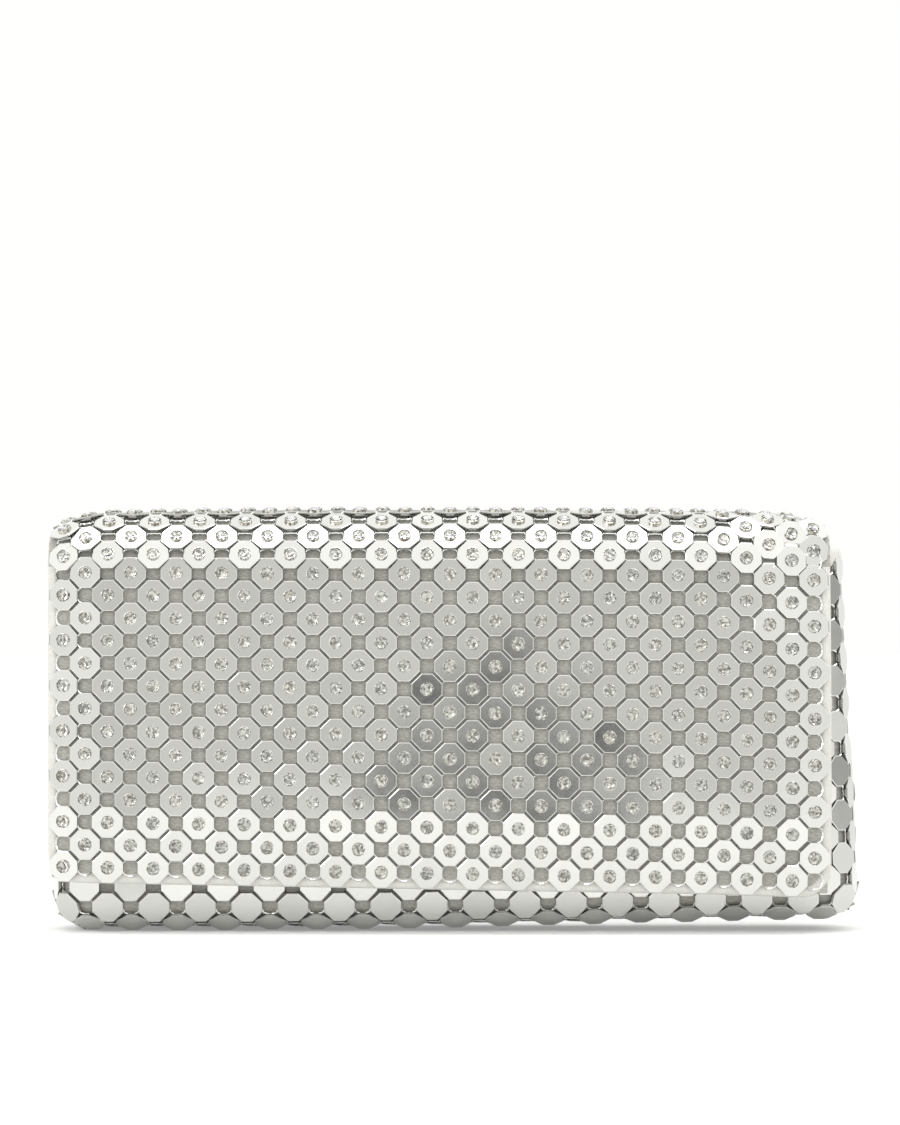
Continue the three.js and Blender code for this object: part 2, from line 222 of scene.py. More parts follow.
def body_surface(u, v, depth, sag=1.0):
    """Point on the soft shell. u runs round the plan anticlockwise from the front's middle, v runs down
    from the mouth, round the lower edge and in across the base, and depth goes inwards. The plan is a
    rectangle with quarter-circle corners; the lower edge is a quarter circle; the front and back bow, the
    gussets swell low down and sink in near the mouth, and a shallow ripple of seven waves runs round. sag
    scales the bow, the swell and the ripple."""
    shape = bpy.context.scene.bag_shape
    belly, ripple_height, least_radius = 0.9 * MM, 0.22 * MM, 1.2 * MM
    straight_x, straight_y = 2 * (BODY_HALF_X - CORNER_R), 2 * (BODY_HALF_Y - CORNER_R)
    breaks = running([straight_x / 2, QUARTER, straight_y, QUARTER, straight_x, QUARTER, straight_y, QUARTER,
                      straight_x / 2])
    u, v, depth = np.broadcast_arrays(u, v, depth)
    u = np.mod(u, breaks[-1])
    across = np.interp(u, breaks, [0, 1, 1, 1, 1, -1, -1, -1, -1, 0])
    along = np.interp(u, breaks, [-1, -1, -1, 1, 1, 1, 1, -1, -1, -1])
    angle = np.interp(u, breaks, np.radians([-90, -90, 0, 0, 90, 90, 180, 180, 270, 270]))
    wall = MOUTH_Z - shape.edge_radius
    turn = np.clip((v - wall) / shape.edge_radius, 0, math.pi / 2)
    under = np.maximum(v - wall - shape.edge_radius * math.pi / 2, 0)
    z = np.where(v < wall, MOUTH_Z - v, shape.edge_radius * (1 - np.sin(turn))) + depth * np.sin(turn)
    inset = shape.edge_radius * (1 - np.cos(turn)) + under + depth * np.cos(turn)
    high = np.clip(z / MOUTH_Z, 0, 1)
    bow = belly * (1 - across**2) * np.sin(math.pi * high) * np.cos(turn)
    tuck = shape.gusset_tuck * (1 - along**2) * smooth_step((high - 0.35) / 0.6)
    swell = belly * (1 - along**2) * np.sin(math.pi * np.clip(high * 1.5, 0, 1)) * np.cos(turn)
    waves = np.sin(14 * math.pi * u / breaks[-1] + 1.3) * np.sin(v / (21 * MM) + 0.4)
    inset = inset - sag * (bow + ripple_height * waves * np.cos(turn)) + tuck - swell * sag
    radius = np.maximum(CORNER_R - inset, least_radius)
    shrink = inset - (CORNER_R - radius)
    half_x = BODY_HALF_X + sag * shape.spread - shape.mouth_taper * high**1.5
    core_x = half_x - CORNER_R - shrink
    core_y = np.maximum(BODY_HALF_Y - CORNER_R - shrink, 0)
    x = across * core_x + radius * np.cos(angle)
    y = BODY_MID_Y + along * core_y + radius * np.sin(angle)
    z = z + end_lift(x) * (1 - high) ** 4
    x = x - shape.lean * (high - 0.5)
    return np.stack([x, y, z], axis=-1)


def end_lift(x):
    """How far the base is lifted, from 0.5 mm at the left, where the flat plates' rims touch the table, to
    the right."""
    return 0.5 * MM + bpy.context.scene.bag_shape.lift * smooth_step((x + 75 * MM) / (190 * MM)) ** 1.3


def body_round():
    """Length of the shell's plan outline."""
    return 4 * (BODY_HALF_X + BODY_HALF_Y - 2 * CORNER_R) + 2 * math.pi * CORNER_R


def squarish(t, power):
    """The cosine of t with its size raised to a power below 1, which squares a round section."""
    return np.sign(np.cos(t)) * np.abs(np.cos(t)) ** power


def askew(x, s):
    """How far the flap's rows slide down: less at the left than at the right, and more at the right end.
    The slant grows towards the hem, and the right end's share shrinks."""
    lower = np.clip((s - HINGE_S[-1]) / (FLAP_HEM_S - HINGE_S[-1]), 0, 1)
    slant = (0.4 * MM + bpy.context.scene.bag_shape.skew * lower) * x / (100 * MM)
    return slant + 1.2 * MM * smooth_step((x - 62 * MM) / (42 * MM)) * (1 - 0.6 * lower)


def below_bends(s):
    """0 above the last bend and 1 well below it: the cloth hangs askew only on the flap's front."""
    return smooth_step((s - HINGE_S[-1] - 3 * MM) / (20 * MM))


def flap_surface(x, s, depth):
    """Point on the flap. x runs across it, s along it from the first hinge over the top to the hem, and
    depth inwards. Near each hinge the straight row is turned about it by a smooth share of the bend. The
    sides curl in, the right top corner droops, the middle stands proud, the hem leans in, and the lower
    part hangs a little askew."""
    shape = bpy.context.scene.bag_shape
    x, s, depth = np.broadcast_arrays(x, s, depth)
    fall = s - HINGE_S[-1]
    length = FLAP_HEM_S - HINGE_S[-1]
    side = np.clip((np.abs(x) - (FLAP_HALF_X - shape.curl_width)) / shape.curl_width, 0, 1)
    curl = np.where(x < 0, shape.curl_left, shape.curl_right)
    above, below = np.minimum(fall + 4 * MM, 0), np.maximum(fall, 0)
    high_bump = np.exp(-((above / (22 * MM)) ** 2) - (below / (17 * MM)) ** 2)
    sink = curl * side**2
    sink = sink + shape.droop * smooth_step((x - 66 * MM) / (38 * MM)) * high_bump
    sink = sink + shape.crown * (x / (100 * MM)) ** 2
    slope = np.clip(1 - fall / length, 0, 1) ** 1.3
    sink = sink + shape.lean_back * slope * smooth_step(1 + fall / (26 * MM))
    sink = sink + shape.hem_turn * smooth_step((fall - length + 18.5 * MM) / (25 * MM))
    sink = sink + 0.16 * MM * np.sin(x / (19 * MM) + 0.7) * np.sin(s / (15 * MM) + 1.1)
    slide = -np.sign(x) * 2 * curl**2 / (3 * shape.curl_width) * side**3
    s = s + askew(x, s) * below_bends(s)
    x = x + slide - shape.flap_shift
    depth = depth + sink
    near = np.argmin(np.abs(s[..., None] - HINGE_S), axis=-1)
    off = s - HINGE_S[near]
    share = smooth_step(off / (6 * MM) + 0.5)
    angle = (near + share) * BEND
    y = HINGES[near, 0] - np.sin(angle) * off - np.cos(angle) * depth
    z = HINGES[near, 1] + np.cos(angle) * off - np.sin(angle) * depth
    return np.stack([x, y, z], axis=-1)


def frames_on(surface, a, b, depth, step=0.4 * MM):
    """Centre, right, up and outward directions at points of a surface, by central differences."""
    centre = surface(a, b, depth)
    right = unit(surface(a + step, b, depth) - surface(a - step, b, depth))
    up = surface(a, b - step, depth) - surface(a, b + step, depth)
    out = unit(np.cross(right, up))
    return centre, right, np.cross(out, right), out


def leaned(places, amount, seed):
    """The same places with each frame leaned by a small seeded random amount about its two flat axes."""
    centre, right, up, out = places
    lean = np.random.default_rng(seed).normal(0, amount, (len(centre), 2))
    out = unit(out + lean[:, :1] * right + lean[:, 1:] * up)
    right = unit(right - np.sum(right * out, axis=1, keepdims=True) * out)
    return centre, right, np.cross(out, right), out


# ---- Meshes ----


def put_mesh(name, points, corners, sizes, smooth=True, uv=None):
    """A mesh object from points, the corners of all its faces in a row, and the faces' sizes."""
    mesh = bpy.data.meshes.new(name)
    points, corners, sizes = (np.asarray(a) for a in (points, corners, sizes))
    mesh.vertices.add(len(points))
    mesh.vertices.foreach_set("co", points.astype(np.float32).ravel())
    mesh.loops.add(len(corners))
    mesh.loops.foreach_set("vertex_index", corners.astype(np.int32))
    mesh.polygons.add(len(sizes))
    mesh.polygons.foreach_set("loop_start", (np.cumsum(sizes) - sizes).astype(np.int32))
    mesh.polygons.foreach_set("use_smooth", np.full(len(sizes), smooth))
    mesh.update(calc_edges=True)
    if uv is not None:
        mesh.uv_layers.new(name="Cloth").data.foreach_set("uv", np.asarray(uv, np.float32).ravel())
    mesh.validate()
    if smooth:
        mesh.set_sharp_from_angle(angle=math.radians(50))
    made = bpy.data.objects.new(name, mesh)
    bpy.context.scene.collection.objects.link(made)
    return made


def finish_piece(made, body, look, slot, *nodes):
    """Gives a piece its finish, hides the CAD nodes that it stands for and hangs it on the body it rides on.
    The slot is not used."""
    made.data.materials.append(finish(look))
    if nodes:
        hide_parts(*nodes)
    if body:
        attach(made, body)
    return made


def scatter(name, template, places, smooth=False, tones=None):
    """Copies of one small shape: each point is the place's centre plus x along right, y along up and z
    along out."""
    shape, faces = template
    centre, right, up, out = places
    count = len(centre)
    x, y, z = (shape[None, :, k : k + 1] for k in range(3))
    points = centre[:, None] + x * right[:, None] + y * up[:, None] + z * out[:, None]
    corners = np.concatenate([np.asarray(f) for f in faces])
    corners = corners[None] + len(shape) * np.arange(count)[:, None]
    sizes = np.tile([len(f) for f in faces], count)
    made = put_mesh(name, points.reshape(-1, 3), corners.ravel(), sizes, smooth)
    if tones is not None:
        layer = made.data.attributes.new("tone", "FLOAT", "POINT")
        layer.data.foreach_set("value", np.repeat(tones, len(shape)).astype(np.float32))
    return made


def scatter_plates(name, sizes, places, seed, body, look, *nodes):
    """Plates, each with its own seeded tone. The flat top and the eight bevels, a plate's first faces, are
    polished. The other faces (sides, underside and arms) are rougher and painted much darker, as painted
    shade for the gaps between plates."""
    template = plate_template(sizes)
    tones = np.random.default_rng(seed).uniform(0, 1, len(places[0]))
    made = finish_piece(scatter(name, template, places, tones=tones), body, look, look, *nodes)
    made.data.materials.append(finish("plate_edge"))
    index = (np.arange(len(made.data.polygons)) % len(template[1]) > 8).astype(np.int32)
    made.data.polygons.foreach_set("material_index", index)


def band_faces(low, high, count):
    """Quads between two closed rings of count points that start at low and high."""
    return [[low + k, low + (k + 1) % count, high + (k + 1) % count, high + k] for k in range(count)]


def tube(name, rings):
    """A mesh object over rings of equal length: quads between neighbours and one face over each end. The
    UVs are cloth distances in metres, along the middles of the rings, or down one side where the rings
    share a middle."""
    rows, count, _ = rings.shape
    k = np.arange(count)
    r = np.arange(rows - 1)[:, None]
    after = (k + 1) % count
    here, there = r * count, (r + 1) * count
    quads = np.stack([here + k, there + k, there + after, here + after], axis=-1)
    across = travel(rings[0])
    across = np.append(across, across[-1] + np.linalg.norm(rings[0, 0] - rings[0, -1]))
    down = travel(rings.mean(axis=1))
    down = down if down[-1] > 10 * MM else travel(rings[:, 0])
    u = np.broadcast_to(np.stack([across[k], across[k], across[k + 1], across[k + 1]], axis=-1), quads.shape)
    v = np.broadcast_to(np.stack([down[r], down[r + 1], down[r + 1], down[r]], axis=-1), quads.shape)
    corners = np.concatenate([quads.ravel(), k, (rows - 1) * count + k[::-1]])
    sizes = np.concatenate([np.full(quads.shape[0] * count, 4), [count, count]])
    ends = np.concatenate([rings[0][:, :2], rings[-1][::-1][:, :2]])
    uv = np.concatenate([np.stack([u, v], axis=-1).reshape(-1, 2), ends])
    return put_mesh(name, rings.reshape(-1, 3), corners, sizes, uv=uv)


def slab(name, front, back):
    """A closed slab between two grids of points: both sheets, and quads round the border. front faces the
    first sheet's outward side, where rows run down and columns run right. The UVs are cloth distances in
    metres."""
    rows, cols, _ = front.shape
    index = np.arange(rows * cols).reshape(rows, cols)
    a, b, c, d = index[:-1, :-1], index[1:, :-1], index[1:, 1:], index[:-1, 1:]
    outer = np.stack([a, b, c, d], axis=-1).reshape(-1, 4)
    inner = outer[:, ::-1] + rows * cols
    rim = np.concatenate([index[0, :-1], index[:-1, -1], index[-1, :0:-1], index[:0:-1, 0]])
    after = np.roll(rim, -1)
    border = np.stack([rim, after, after + rows * cols, rim + rows * cols], axis=-1)
    faces = np.concatenate([outer, inner, border])
    run, fall = travel(front[0]), travel(front[:, cols // 2])
    flat = np.stack(np.broadcast_arrays(run[None], fall[:, None]), axis=-1)
    flat = np.tile(flat.reshape(-1, 2), (2, 1))
    points = np.concatenate([front.reshape(-1, 3), back.reshape(-1, 3)])
    return put_mesh(name, points, faces.ravel(), np.full(len(faces), 4), uv=flat[faces.ravel()])


def slab_on(name, surface, a, b, outer, inner):
    """A closed slab on a surface, over the grid of a and b, between two depths that may vary."""
    return slab(name, surface(a, b, outer), surface(a, b, inner))


def octagon(radius, z, count=8, turn=0.5):
    """A ring of count points at height z, turned by a share of one step."""
    t = (np.arange(count) + turn) * 2 * math.pi / count
    return np.stack([radius * np.cos(t), radius * np.sin(t), np.full(count, z)], axis=-1)


def plate_template(sizes):
    """One plate: an octagonal disc with a bevelled rim and four arms that fold under it. Each arm is a
    hook-shaped outline carried across its width, turned by quarter turns about the plate's middle."""
    half = sizes.plate_thickness / 2
    flat_half = sizes.plate_corner * math.sqrt(2) - sizes.plate_half
    corner = np.array([[sizes.plate_half, -flat_half], [sizes.plate_half, flat_half]])
    quarters = np.arange(4) * math.pi / 2
    turns = [np.array([[math.cos(t), -math.sin(t)], [math.sin(t), math.cos(t)]]) for t in quarters]
    outline = np.concatenate([corner @ turn.T for turn in turns])
    inner = 1 - sizes.plate_bevel / sizes.plate_half
    steps = ((inner, half), (1, half - 0.11 * MM), (1, -half * 0.6), (0.97, -half))
    points = np.concatenate([np.column_stack([outline * scale, np.full(8, z)]) for scale, z in steps])
    faces = [list(range(8))] + band_faces(8, 0, 8) + band_faces(16, 8, 8) + band_faces(24, 16, 8)
    faces += [list(range(31, 23, -1))]
    arm_half = 1.0 * MM
    hook = np.array([[-0.05, -0.1], [0.05, -0.3], [-0.08, -0.72], [-1.4, -0.76], [-1.4, -0.6], [-0.36, -0.56],
                     [-0.36, -0.1]]) * MM + [sizes.plate_half, 0]
    n = len(hook)
    for turn in turns:
        first = len(points)
        for across in (-arm_half, arm_half):
            flat = np.stack([hook[:, 0], np.full(n, across)], axis=-1) @ turn.T
            points = np.concatenate([points, np.column_stack([flat, hook[:, 1]])])
        faces += [[first + (k + 1) % n, first + k, first + n + k, first + n + (k + 1) % n] for k in range(n)]
        faces += [list(range(first, first + n)), list(range(first + 2 * n - 1, first + n - 1, -1))]
    return points, faces


def ring_template(sizes):
    """A wire ring: a small circle of wire carried round a larger one, below the plates. It rises into the
    four slanting gaps between them, by minus the cosine of four times the angle."""
    around, wire = 16, 4
    low, rise = -0.46 * MM, 0.5 * MM
    t = np.arange(around)[:, None] * 2 * math.pi / around
    w = np.arange(wire)[None] * 2 * math.pi / wire
    reach = sizes.ring_radius + sizes.wire_radius * np.cos(w)
    height = low + rise * np.maximum(0, -np.cos(4 * t)) + sizes.wire_radius * np.sin(w)
    points = np.stack([reach * np.cos(t), reach * np.sin(t), height], axis=-1).reshape(-1, 3)
    faces = []
    for r in range(around):
        here, there = r * wire, (r + 1) % around * wire
        faces += [[here + k, there + k, there + (k + 1) % wire, here + (k + 1) % wire] for k in range(wire)]
    return points, faces


def crystal_template(sizes):
    """A brilliant-cut stone: an eight-sided table, two bands of triangular facets, and a low point below."""
    top = sizes.plate_thickness / 2
    r = sizes.crystal_radius
    rings = [octagon(r * 0.5, top + 0.98 * MM, turn=0), octagon(r * 0.8, top + 0.8 * MM, turn=0.5),
             octagon(r, top + 0.42 * MM, turn=0), octagon(r * 0.98, top + 0.34 * MM, turn=0)]
    points = np.concatenate(rings + [np.array([[0, 0, top + 0.12 * MM]])])
    faces = [list(range(8))]
    for k in range(8):
        after, before = (k + 1) % 8, (k - 1) % 8
        faces += [[k, 8 + k, after], [k, 8 + before, 8 + k], [8 + before, 16 + k, 8 + k],
                  [8 + k, 16 + k, 16 + after], [16 + k, 24 + k, 24 + after, 16 + after],
                  [24 + k, 32, 24 + after]]
    return points, faces


def setting_template(sizes):
    """The stone's setting: a thin rim of four-sided section, and a shallow eight-sided foil cup inside it."""
    top = sizes.plate_thickness / 2
    r = sizes.crystal_radius
    section = np.array([[0.22, -0.02], [0.2, 0.5], [0.02, 0.56], [0.03, -0.02]]) * MM + [r, top]
    faces = [face for k in range(4) for face in band_faces(12 * k, 12 * ((k + 1) % 4), 12)]
    cup = [octagon(r, top + 0.3 * MM, 8, 0), np.array([[0, 0, top + 0.06 * MM]]),
           octagon(r, top + 0.02 * MM, 8, 0)]
    points = np.concatenate([octagon(a, b, 12) for a, b in section] + cup)
    first, below = 48, 57
    faces += [[first + k, first + (k + 1) % 8, first + 8] for k in range(8)]
    faces += [[first + (k + 1) % 8, first + k, below + k, below + (k + 1) % 8] for k in range(8)]
    faces += [[below + k for k in range(7, -1, -1)]]
    return points, faces


def stitch_template(length=1.9 * MM, radius=0.2 * MM):
    """One stitch: a six-sided thread that dives at both ends, its width largest in the middle."""
    along = np.array([-0.5, -0.38, 0, 0.38, 0.5]) * length
    wide = np.array([0.35, 0.9, 1.1, 0.9, 0.35]) * radius
    lift = np.array([-0.5, 0.15, 0.45, 0.15, -0.5]) * radius
    t = np.arange(6) * math.pi / 3
    rings = [np.column_stack([np.full(6, a), w * np.cos(t), w * np.sin(t) + h])
             for a, w, h in zip(along, wide, lift)]
    faces = [list(range(5, -1, -1)), list(range(24, 30))]
    for low in range(0, 24, 6):
        faces += band_faces(low, low + 6, 6)
    return np.concatenate(rings), faces


# ---- Finishes ----


def set_inputs(node, **values):
    """Sets a node's inputs by name, with _ for a space."""
    for key, value in values.items():
        node.inputs[key.replace("_", " ")].default_value = value


def add_node(tree, kind, **values):
    """A node with its inputs set by name."""
    made = tree.nodes.new(kind)
    set_inputs(made, **values)
    return made


def object_noise(tree, **values):
    """The factor of a noise on Object coordinates."""
    noise = add_node(tree, "ShaderNodeTexNoise", **values)
    tree.links.new(tree.nodes.new("ShaderNodeTexCoord").outputs["Object"], noise.inputs["Vector"])
    return noise.outputs["Fac"]


def tint(tree, factor, socket, low, high, start=0.3, end=0.7):
    """Drives a colour socket with a ramp between two colours."""
    ramp = tree.nodes.new("ShaderNodeValToRGB")
    ramp.color_ramp.elements[0].position, ramp.color_ramp.elements[1].position = start, end
    ramp.color_ramp.elements[0].color = (*low, 1)
    ramp.color_ramp.elements[1].color = (*high, 1)
    tree.links.new(factor, ramp.inputs["Fac"])
    tree.links.new(ramp.outputs["Color"], socket)


def spread(tree, factor, socket, low, high):
    """Drives a socket with a factor from 0 to 1 stretched to run from low to high."""
    made = add_node(tree, "ShaderNodeMapRange", To_Min=low, To_Max=high)
    tree.links.new(factor, made.inputs["Value"])
    tree.links.new(made.outputs["Result"], socket)


def bump(tree, shader, height, distance, strength=0.5):
    """Adds a bump from a height to the shader's normal."""
    made = add_node(tree, "ShaderNodeBump", Strength=strength, Distance=distance)
    tree.links.new(height, made.inputs["Height"])
    tree.links.new(made.outputs["Normal"], shader.inputs["Normal"])


def shaded(colour, low, high):
    """A colour made darker and lighter by two factors."""
    return [c * low for c in colour], [min(c * high, 1) for c in colour]


def rolled(tree, shader, roughness):
    """Rolled sheet metal: each plate has its own tone, with a fine grain and faint smears of wear."""
    tone = tree.nodes.new("ShaderNodeAttribute")
    tone.attribute_name = "tone"
    smear = object_noise(tree, Scale=240.0, Detail=3.0)
    grain = object_noise(tree, Scale=5200.0, Detail=2.0)
    tones = shaded(bpy.context.scene.bag_finish.metal, 0.93, 1.04)
    tint(tree, tone.outputs["Fac"], shader.inputs["Base Color"], *tones, 0.0, 1.0)
    spread(tree, smear, shader.inputs["Roughness"], roughness * 0.75, roughness * 1.3)
    set_inputs(shader, Metallic=1.0)
    bump(tree, shader, grain, 0.006 * MM, 0.15)


def drawn_wire(tree, shader):
    """Bright drawn wire."""
    noise = object_noise(tree, Scale=900.0, Detail=2.0)
    tint(tree, noise, shader.inputs["Base Color"], (0.84, 0.84, 0.82), (0.98, 0.98, 0.96))
    set_inputs(shader, Metallic=1.0, Roughness=0.16)


def cut_glass(tree, shader):
    """Clear cut glass with the faintest tint changes from stone to stone."""
    noise = object_noise(tree, Scale=70.0)
    tint(tree, noise, shader.inputs["Base Color"], (0.9, 0.92, 0.94), (1, 1, 0.99))
    set_inputs(shader, Roughness=0.02, IOR=1.6, Transmission_Weight=1.0)


def foil(tree, shader):
    """The setting's foil in patches of dark and bright: painted sparkle, the light and dark facets of the
    stone. The roughness changes in the same patches.
    """
    noise = object_noise(tree, Scale=1400.0, Detail=3.0)
    tint(tree, noise, shader.inputs["Base Color"], (0.22, 0.21, 0.18), (0.82, 0.81, 0.74), 0.4, 0.6)
    spread(tree, noise, shader.inputs["Roughness"], 0.2, 0.4)
    set_inputs(shader, Metallic=1.0)


def satin(tree, shader, use, roughness, grain):
    """Satin: long floats of thread across a fine rib, a little lighter and darker by turns. The weave
    follows the UVs."""
    rib_pitch = 0.3 * MM
    uv = tree.nodes.new("ShaderNodeUVMap")
    uv.uv_map = "Cloth"
    rib = add_node(tree, "ShaderNodeTexWave", Scale=1 / rib_pitch / 6.28, Distortion=0.6, Detail=1.0)
    rib.bands_direction = "Y"
    floats = add_node(tree, "ShaderNodeTexNoise", Scale=1.0, Detail=2.0)
    stretch = add_node(tree, "ShaderNodeMapping", Scale=(900.0, 2600.0, 1.0))
    tree.links.new(uv.outputs["UV"], rib.inputs["Vector"])
    tree.links.new(uv.outputs["UV"], stretch.inputs["Vector"])
    tree.links.new(stretch.outputs["Vector"], floats.inputs["Vector"])
    tones = shaded(getattr(bpy.context.scene.bag_finish, use), 1 - grain, 1 + grain)
    tint(tree, floats.outputs["Fac"], shader.inputs["Base Color"], *tones)
    spread(tree, floats.outputs["Fac"], shader.inputs["Roughness"], roughness * 0.8, roughness * 1.25)
    height = tree.nodes.new("ShaderNodeMath")
    height.operation = "ADD"
    tree.links.new(rib.outputs["Fac"], height.inputs[0])
    tree.links.new(floats.outputs["Fac"], height.inputs[1])
    bump(tree, shader, height.outputs["Value"], 0.03 * MM, 0.4)
    set_inputs(shader, Sheen_Weight=0.25, Specular_IOR_Level=0.45)


def speckled(tree, shader, low, high, scale, roughness, metallic=0.0, grain=0.02 * MM):
    """Two tones in noise, and a fine grain."""
    noise = object_noise(tree, Scale=scale, Detail=4.0)
    tint(tree, noise, shader.inputs["Base Color"], low, high)
    spread(tree, noise, shader.inputs["Roughness"], roughness * 0.8, roughness * 1.2)
    set_inputs(shader, Metallic=metallic)
    bump(tree, shader, noise, grain, 0.3)


FINISHES = {
    "plate_metal": (rolled, 0.12),
    "crystal_plate_metal": (rolled, 0.09),
    # Painted shade: the plates' sides, underside and arms get a far darker metal than their tops, for the
    # shade in the gaps between plates, and a higher roughness.
    "plate_edge": (speckled, (0.34, 0.34, 0.32), (0.52, 0.52, 0.5), 2200.0, 0.5, 1.0, 0.006 * MM),
    "link_wire": (drawn_wire,),
    "cut_crystal": (cut_glass,),
    # The foil's dark and bright patches are painted sparkle of the stone's facets.
    "setting_foil": (foil,),
    "facing_satin": (satin, "facing", 0.42, 0.06),
    # Backing satin: its darkened grey is partly painted shade of the windows under the plates.
    "backing_satin": (satin, "backing", 0.5, 0.24),
    "lining_satin": (satin, "lining", 0.38, 0.1),
    "thread": (speckled, (0.55, 0.55, 0.52), (0.78, 0.78, 0.74), 3000.0, 0.6),
    "board_card": (speckled, (0.5, 0.47, 0.42), (0.66, 0.63, 0.57), 900.0, 0.85, 0.0, 0.05 * MM),
    "snap_nickel": (speckled, (0.58, 0.58, 0.59), (0.64, 0.64, 0.65), 2600.0, 0.2, 1.0, 0.002 * MM),
    "magnet_iron": (speckled, (0.12, 0.12, 0.13), (0.22, 0.22, 0.23), 1500.0, 0.5, 1.0),
}


@functools.cache
def finish(name):
    """The finish of that name, built from FINISHES the first time that it is asked for. It takes over the
    CAD nodes' plain material where they have one of that name."""
    made = bpy.data.materials.get(name) or bpy.data.materials.new(name)
    made.use_nodes = True
    build, *values = FINISHES[name]
    build(made.node_tree, made.node_tree.nodes["Principled BSDF"], *values)
    return made


# ---- Body ----


class BAG_OT_body_plates(bpy.types.Operator):
    """Linked plates and wire rings over the front, gussets, back and base of the shell."""

    bl_idname = "bag.body_plates"
    bl_label = "Body Plates"

    def execute(self, context):
        sizes = context.scene.bag_plates
        rows, first_row, ring_depth = 17, 3.0 * MM, 1.0 * MM
        pitch = body_round() / sizes.body_columns
        k, r = np.meshgrid(np.arange(sizes.body_columns), np.arange(rows))
        u = ((k + 0.5 * (r % 2)) * pitch).ravel()
        v = (first_row + r * sizes.row_step).ravel()
        plates = frames_on(body_surface, u, v, PLATE_DEPTH)
        rings = frames_on(body_surface, u + pitch / 2, v, ring_depth)
        plates = [np.concatenate(pair) for pair in zip(plates, self.base_places(pitch, 0.0))]
        rings = [np.concatenate(pair) for pair in zip(rings, self.base_places(pitch, pitch / 2))]
        plates = leaned(plates, sizes.tilt * 3, 11)
        nodes = [f"mesh_{wall}" for wall in WALLS]
        scatter_plates("body_plates", sizes, plates, 5, "bag", "plate_metal", *nodes)
        made = scatter("body_rings", ring_template(sizes), rings, smooth=True)
        finish_piece(made, "bag", "link_wire", "plate_metal")
        return {"FINISHED"}

    def base_places(self, pitch, shift):
        """Two rows of plates on the flat of the base, in step with the rows that turn under from the front
        and back."""
        k, r = np.meshgrid(np.arange(-7, 8), np.arange(2))
        x = ((k + 0.5 * (r % 2)) * pitch + shift - pitch / 4).ravel()
        y = (BODY_MID_Y + (r - 0.5) * 6.7 * MM).ravel()
        centre = np.stack([x, y, PLATE_DEPTH + end_lift(x)], axis=-1)
        right, up, out = (np.tile(v, (len(x), 1)) for v in ([1.0, 0, 0], [0, -1.0, 0], [0, 0, -1.0]))
        return centre, right, up, out


def cloth_cup(name, outer, inner, top, sag):
    """A cup-shaped cloth shell between two depths: rings round the shell from the base's middle up the
    outside to the mouth, and down again inside."""
    wall = MOUTH_Z - bpy.context.scene.bag_shape.edge_radius
    end = wall + bpy.context.scene.bag_shape.edge_radius * math.pi / 2 + 4 * MM
    down = np.concatenate([np.linspace(top, wall, 24), np.linspace(wall, end, 13)[1:]])
    u = np.linspace(0, body_round(), 300, endpoint=False)
    profile = [(v, outer) for v in down[::-1]] + [(v, inner) for v in down]
    return tube(name, np.stack([body_surface(u, v, depth, sag) for v, depth in profile]))


class BAG_OT_shell_satin(bpy.types.Operator):
    """The satin shell that the body's plates lie on, and the lining inside it."""

    bl_idname = "bag.shell_satin"
    bl_label = "Shell Satin"

    def execute(self, context):
        shell = cloth_cup("shell_satin", CLOTH_DEPTH, 2.0 * MM, 0.4 * MM, 1.0)
        finish_piece(shell, "bag", "backing_satin", "facing_satin", "backing_left", "backing_right")
        lining = cloth_cup("lining", 4.0 * MM, 4.6 * MM, 0.2 * MM, 0.0)
        finish_piece(lining, "bag", "lining_satin", "lining_satin", *[f"lining_{wall}" for wall in WALLS])
        return {"FINISHED"}


def mouth_path(count):
    """u round the mouth, from behind the left gusset, along the front, to behind the right gusset."""
    reach = BODY_HALF_X - CORNER_R + QUARTER + 2 * (BODY_HALF_Y - CORNER_R) + QUARTER * 0.36
    return np.linspace(-reach, reach, count)


class BAG_OT_boards(bpy.types.Operator):
    """Card boards between the satin and the lining: front, back and base."""

    bl_idname = "bag.boards"
    bl_label = "Boards"

    def execute(self, context):
        reach = BODY_HALF_X - CORNER_R - 1 * MM
        wall = MOUTH_Z - context.scene.bag_shape.edge_radius
        for name, middle in (("board_front", 0.0), ("board_back", body_round() / 2)):
            u, v = np.meshgrid(np.linspace(-reach, reach, 81) + middle, np.linspace(2 * MM, wall, 41))
            made = slab_on(f"card_{name}", body_surface, u, v, *BOARD_DEPTHS)
            finish_piece(made, "bag", "board_card", "board", name)
        x, y = np.meshgrid(np.linspace(-reach, reach, 61), np.linspace(-8 * MM, 8 * MM, 5) + BODY_MID_Y)
        made = slab("card_board_base", *(np.stack([x, y, end_lift(x) + z], axis=-1) for z in BOARD_DEPTHS))
        finish_piece(made, "bag", "board_card", "board", "board_base")
        return {"FINISHED"}


class BAG_OT_mouth_binding(bpy.types.Operator):
    """Rolled satin binding over the mouth's edge: a squarish roll carried round the mouth, faintly puffed."""

    bl_idname = "bag.mouth_binding"
    bl_label = "Mouth Binding"

    def execute(self, context):
        u = mouth_path(360)
        t = np.linspace(0, 2 * math.pi, 22, endpoint=False)
        across = 2.45 * MM + 2.75 * MM * squarish(t, 0.75)
        rise = np.where(np.sin(t) > 0, 2.6, 3.2) * MM * np.sin(t)
        puff = 1 + 0.05 * np.sin(u / (3.1 * MM)) * np.sin(u / (13 * MM))
        made = tube("mouth_binding", body_surface(u[:, None], -rise[None] * puff[:, None], across[None], 0.4))
        nodes = [f"binding_{side}" for side in ("front", "left", "right")]
        finish_piece(made, "bag", "facing_satin", "facing_satin", *nodes)
        return {"FINISHED"}


